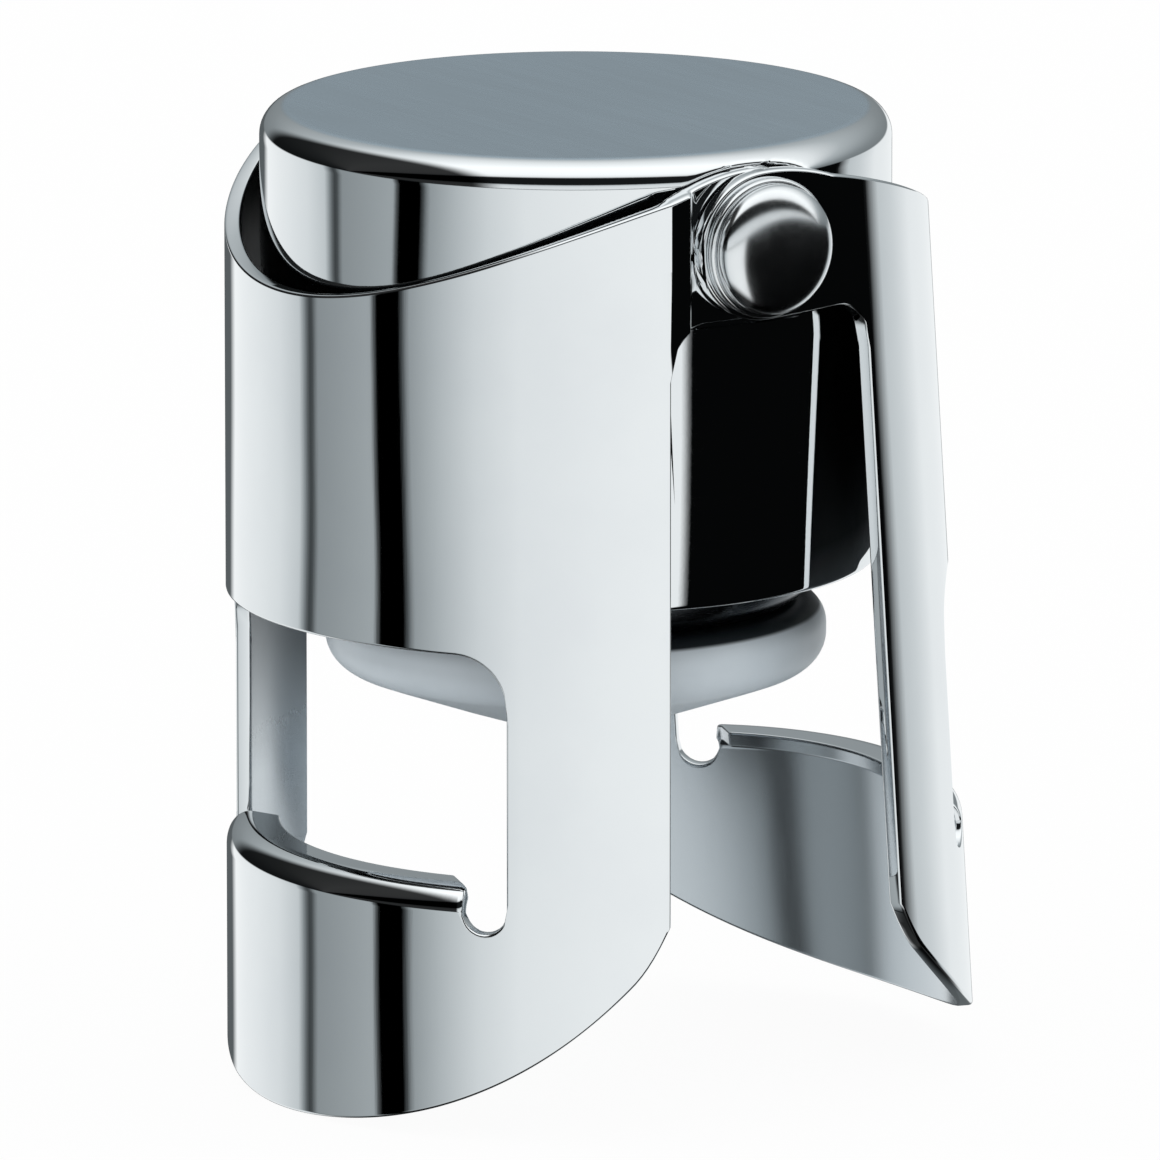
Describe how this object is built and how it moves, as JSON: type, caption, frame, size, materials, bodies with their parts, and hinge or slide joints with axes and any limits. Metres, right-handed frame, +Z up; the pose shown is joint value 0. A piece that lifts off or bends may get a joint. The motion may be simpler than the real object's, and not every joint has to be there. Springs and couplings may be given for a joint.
{
  "type": "champagne stopper",
  "caption": "Sprung bottle stopper with a round metal cap, a rubber seal under a bell, and hinged wings whose hooks grip the bottle's lip.",
  "frame": {"origin": "centre of the flat tip of the seal's plug, on the stopper's axis", "axes": "+Z up through the cap, Y along the hinge axis with the front rivet at -Y, and X across the wings with the left wing at -X"},
  "size_m": [0.0468, 0.0462, 0.0602],
  "materials": {
    "cap_chrome": "bright chrome, softly brushed on the top",
    "wing_chrome": "bright chrome",
    "bell_chrome": "bright chrome",
    "rivet_chrome": "bright chrome",
    "inner_steel": "plain pressed steel",
    "spring_steel": "drawn spring wire",
    "seal_rubber": "smooth light grey moulded rubber"
  },
  "bodies": {
    "cap": {"cap_shell": "cap_chrome", "collar": "inner_steel", "spring_seat": "inner_steel", "front_rivet": "rivet_chrome", "front_washer": "rivet_chrome", "back_rivet": "rivet_chrome", "back_washer": "rivet_chrome", "spring": "spring_steel"},
    "plunger": {"bell": "bell_chrome", "seal": "seal_rubber", "stem": "inner_steel", "stem_washer": "inner_steel"},
    "left_wing": {"left_wing": "wing_chrome"},
    "right_wing": {"right_wing": "wing_chrome"}
  },
  "joints": [
    {"name": "seal_press", "type": "slide", "parent": "cap", "child": "plunger", "axis": [0, 0, 1], "range_m": [0, 0.0064], "stiffness_N_per_m": 1600, "springref_m": -0.01, "deforming": ["spring"]},
    {"name": "left_wing_swing", "type": "hinge", "parent": "cap", "child": "left_wing", "pos_m": [0, 0, 0.0328], "axis": [0, 1, 0], "range_deg": [-4, 50]},
    {"name": "right_wing_swing", "type": "hinge", "parent": "cap", "child": "right_wing", "pos_m": [0, 0, 0.0328], "axis": [0, -1, 0], "range_deg": [-8, 46]}
  ]
}
